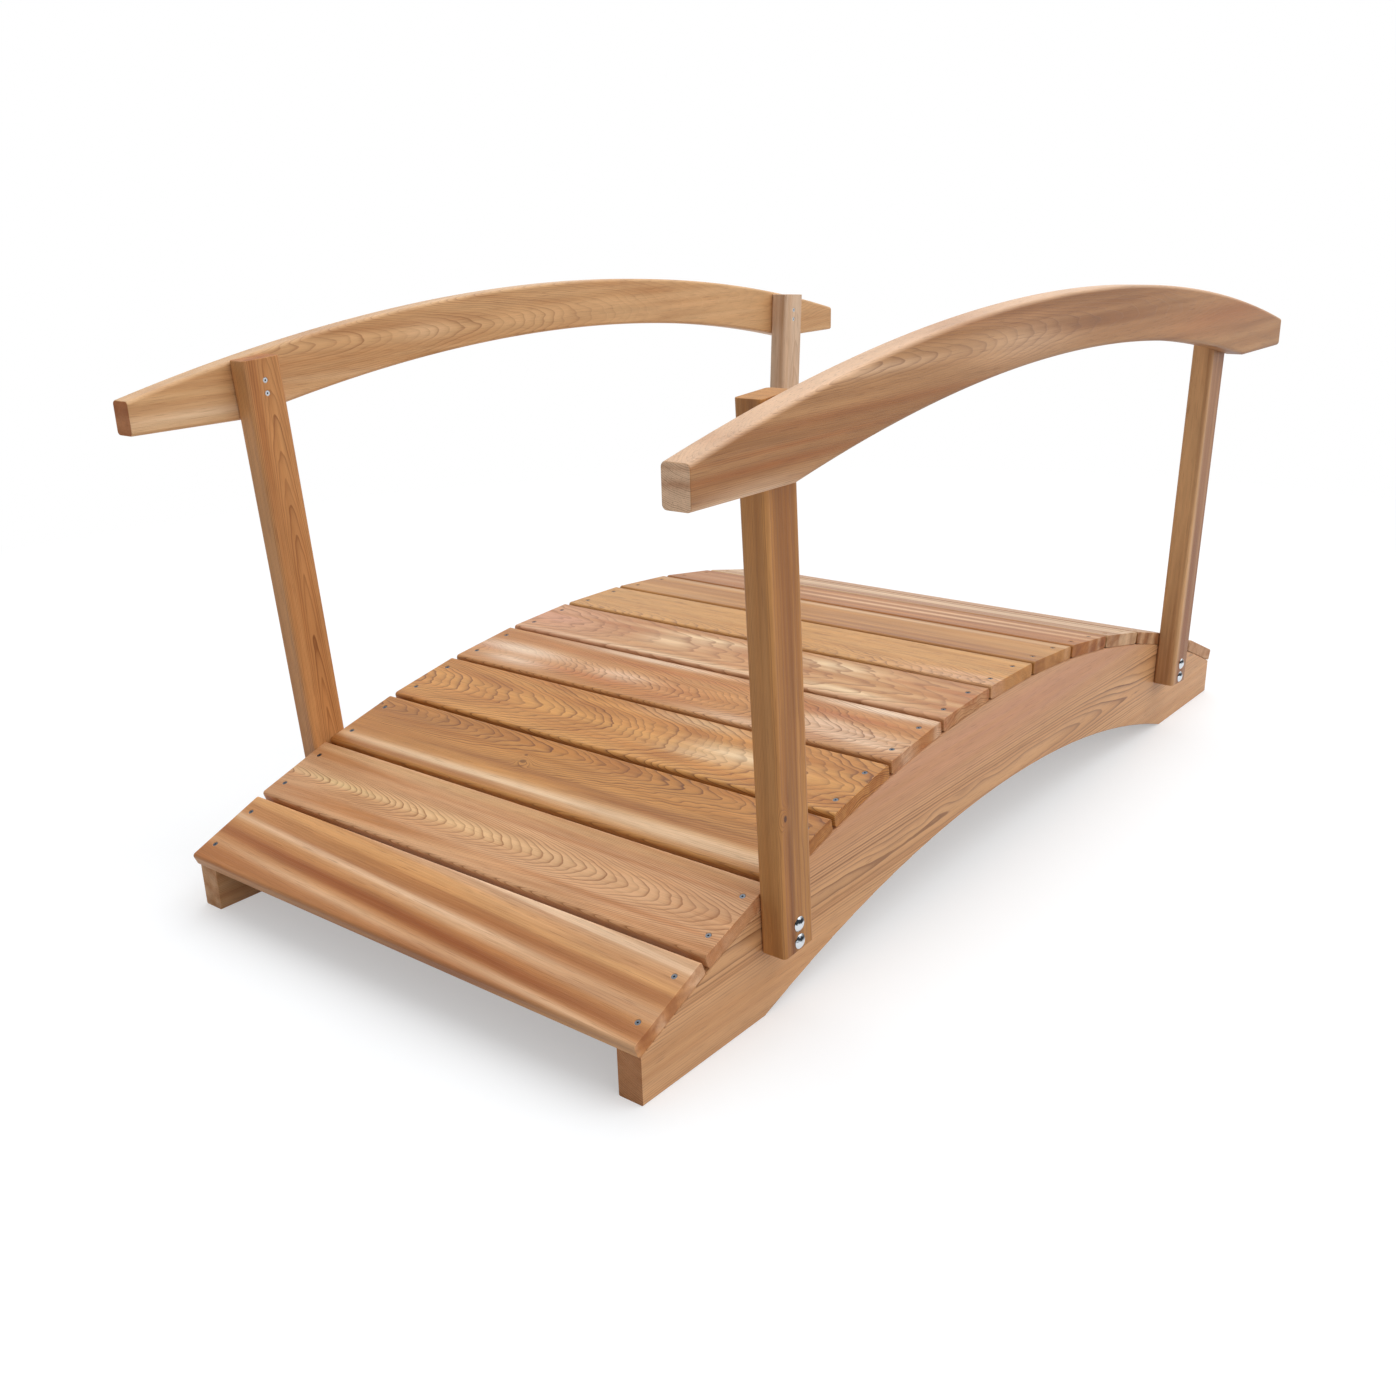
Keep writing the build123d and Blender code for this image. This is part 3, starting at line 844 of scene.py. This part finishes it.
def screwSeats(places):
    seats = []
    for number in plankLooks:
        name = "plank_%02d" % number
        lean = plankTurn(name)
        upright = Vector((sin(lean), 0, cos(lean)))
        forward = Vector((cos(lean), 0, -sin(lean)))
        top = middleOf(name) + upright * (plankThickness / 2)
        for step in (-1, 1):
            for side in (-1, 1):
                place = top + forward * (step * places["deckSpread"])
                seats.append((place + Vector((0, side * places["deckReach"], 0)), upright))
    for name in postLooks:
        low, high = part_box(name)
        side = 1 if "left" in name else -1
        lean = postLean if "far" in name else -postLean
        grain = Vector((sin(lean), 0, cos(lean)))
        middle = (low + high) / 2
        middle.y = low.y if side > 0 else high.y
        foot = middle - grain * (postLength / 2)
        for height in places["postHeights"]:
            seats.append((foot + grain * height, Vector((0, -side, 0))))
    return seats


def makeScrewTree(sizes):
    tree = bpy.data.node_groups.new("deckScrews", "GeometryNodeTree")
    tree.interface.new_socket("Geometry", in_out="INPUT", socket_type="NodeSocketGeometry")
    for name in sizes:
        tree.interface.new_socket(name, in_out="INPUT", socket_type="NodeSocketFloat")
    tree.interface.new_socket("Turn Seed", in_out="INPUT", socket_type="NodeSocketInt")
    for name in ("Finish", "Recess Shade Finish"):
        tree.interface.new_socket(name, in_out="INPUT", socket_type="NodeSocketMaterial")
    tree.interface.new_socket("Geometry", in_out="OUTPUT", socket_type="NodeSocketGeometry")
    given = put(tree, "NodeGroupInput").outputs

    def stored(name, kind):
        return put(tree, "GeometryNodeInputNamedAttribute", {"Name": name}, data_type=kind).outputs[0]

    # one screw, turned from a ring: head, rim, countersink, shank and point, from the top down
    steps = 4
    ring = put(tree, "GeometryNodeMeshCylinder", {
        "Vertices": screwForm["sides"], "Side Segments": steps, "Radius": 1.0, "Depth": 1.0,
    })
    position = put(tree, "GeometryNodeInputPosition").outputs[0]
    x, y, z = put(tree, "ShaderNodeSeparateXYZ", {0: position}).outputs
    level = calc(tree, "MULTIPLY", calc(tree, "SUBTRACT", 0.5, z), steps)
    headRadius = calc(tree, "MULTIPLY", given["Head Width"], 0.5)
    shankRadius = calc(tree, "MULTIPLY", given["Shank Width"], 0.5)
    neck = calc(tree, "ADD", given["Rim"], given["Countersink"])
    pointStart = calc(tree, "SUBTRACT", given["Length"], given["Point"])
    topRadius = calc(tree, "MULTIPLY", headRadius, screwForm["topShare"])
    radii = (topRadius, headRadius, shankRadius, shankRadius, screwForm["tipRadius"])
    drops = (0.0, given["Rim"], neck, pointStart, given["Length"])

    def byLevel(values):
        choice = tree.nodes.new("GeometryNodeIndexSwitch")
        choice.data_type = "FLOAT"
        while len(choice.index_switch_items) < len(values):
            choice.index_switch_items.new()
        tree.links.new(calc(tree, "ROUND", level), choice.inputs[0])
        for place, value in enumerate(values, 1):
            if isinstance(value, bpy.types.NodeSocket):
                tree.links.new(value, choice.inputs[place])
            else:
                choice.inputs[place].default_value = value
        return choice.outputs[0]

    radius = byLevel(radii)
    depth = calc(tree, "MULTIPLY", calc(tree, "ADD", byLevel(drops), given["Sunk"]), -1.0)
    place = put(tree, "ShaderNodeCombineXYZ", {
        0: calc(tree, "MULTIPLY", x, radius), 1: calc(tree, "MULTIPLY", y, radius), 2: depth,
    }).outputs[0]
    body = put(tree, "GeometryNodeSetPosition", {"Geometry": ring.outputs[0], "Position": place})

    # the square recess for the driver
    corner = calc(tree, "MULTIPLY", given["Recess Width"], screwForm["halfDiagonal"])
    sunk = calc(tree, "ADD", given["Recess Depth"], given["Sunk"])
    cutter = put(tree, "GeometryNodeMeshCone", {
        "Vertices": 4, "Radius Top": corner,
        "Radius Bottom": calc(tree, "MULTIPLY", corner, screwForm["recessTaper"]),
        "Depth": calc(tree, "MULTIPLY", given["Recess Depth"], 2.0),
    }).outputs[0]
    shift = put(tree, "ShaderNodeCombineXYZ", {2: calc(tree, "MULTIPLY", sunk, -1.0)}).outputs[0]
    cutter = put(tree, "GeometryNodeTransform", {"Geometry": cutter, "Translation": shift}).outputs[0]
    meshes = {"Mesh 1": body.outputs[0], "Mesh 2": cutter}
    screw = put(tree, "GeometryNodeMeshBoolean", meshes, operation="DIFFERENCE")

    # the recess's own faces, which take the painted recess shade: close to the axis, and under the head's
    # top
    flat = put(tree, "ShaderNodeCombineXYZ", {0: x, 1: y}).outputs[0]
    reach = put(tree, "ShaderNodeVectorMath", {0: flat}, operation="LENGTH").outputs["Value"]
    low = calc(tree, "MULTIPLY", z, -1.0)
    recessTop = calc(tree, "ADD", given["Sunk"], screwForm["touch"])
    recessFloor = calc(tree, "ADD", sunk, screwForm["touch"])
    inside = calc(tree, "LESS_THAN", reach, corner)
    inside = calc(tree, "MULTIPLY", inside, calc(tree, "GREATER_THAN", low, recessTop))
    inside = calc(tree, "MULTIPLY", inside, calc(tree, "LESS_THAN", low, recessFloor))
    screw = put(tree, "GeometryNodeStoreNamedAttribute", {
        "Geometry": screw.outputs[0], "Name": "recess", "Value": inside,
    }, data_type="FLOAT", domain="FACE")

    # a screw on each seat, along the seat's axis, each left at its own turn
    axis = stored("axis", "FLOAT_VECTOR")
    upright = put(tree, "FunctionNodeAlignRotationToVector", {"Vector": axis}, axis="Z").outputs[0]
    chance = put(tree, "FunctionNodeRandomValue", data_type="FLOAT")
    for socket in chance.inputs:
        if socket.enabled and socket.name == "Max":
            socket.default_value = pi / 2
        if socket.enabled and socket.name == "Seed":
            tree.links.new(given["Turn Seed"], socket)
    turned = [socket for socket in chance.outputs if socket.enabled][0]
    spin = put(tree, "FunctionNodeAxisAngleToRotation", {"Axis": (0, 0, 1), "Angle": turned}).outputs[0]
    pose = put(tree, "FunctionNodeRotateRotation", {0: upright, 1: spin}, rotation_space="LOCAL")
    placed = put(tree, "GeometryNodeInstanceOnPoints", {
        "Points": given["Geometry"], "Instance": screw.outputs[0], "Rotation": pose.outputs[0],
    })
    solid = put(tree, "GeometryNodeRealizeInstances", {0: placed.outputs[0]}).outputs[0]
    done = put(tree, "GeometryNodeSetMaterial", {"Geometry": solid, "Material": given["Finish"]})
    # the recess faces take the dark recess finish, a painted shade
    done = put(tree, "GeometryNodeSetMaterial", {
        "Geometry": done.outputs[0], "Material": given["Recess Shade Finish"],
        "Selection": calc(tree, "GREATER_THAN", stored("recess", "FLOAT"), 0.5),
    })
    put(tree, "NodeGroupOutput", {0: done.outputs[0]})
    return tree


def makeScrews(sizes, places, finish, recessShadeFinish):
    seats = screwSeats(places)
    points = bpy.data.meshes.new("screwSeats")
    points.from_pydata([seat for seat, axis in seats], [], [])
    stored = points.attributes.new("axis", "FLOAT_VECTOR", "POINT")
    for index, (seat, axis) in enumerate(seats):
        stored.data[index].vector = axis
    holder = bpy.data.objects.new("screwSeats", points)
    scene.collection.objects.link(holder)
    modifier = holder.modifiers.new("screws", "NODES")
    modifier.node_group = makeScrewTree(sizes)
    values = {**sizes, "Turn Seed": places["turnSeed"], "Finish": finish, "Recess Shade Finish": recessShadeFinish}
    for item in modifier.node_group.interface.items_tree:
        if item.in_out == "INPUT" and item.name in values:
            modifier[item.identifier] = values[item.name]
    bpy.context.view_layer.update()
    settled = holder.evaluated_get(bpy.context.evaluated_depsgraph_get())
    mesh = bpy.data.meshes.new_from_object(settled)
    mesh.name = "deckScrews"
    holder.modifiers.remove(modifier)
    bpy.data.objects.remove(holder)
    screws = bpy.data.objects.new("deckScrews", mesh)
    scene.collection.objects.link(screws)
    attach(screws, "root")
    return len(seats)


print("screws set:", makeScrews(screwSizes, screwPlaces, screwZinc, recessShadeZinc))
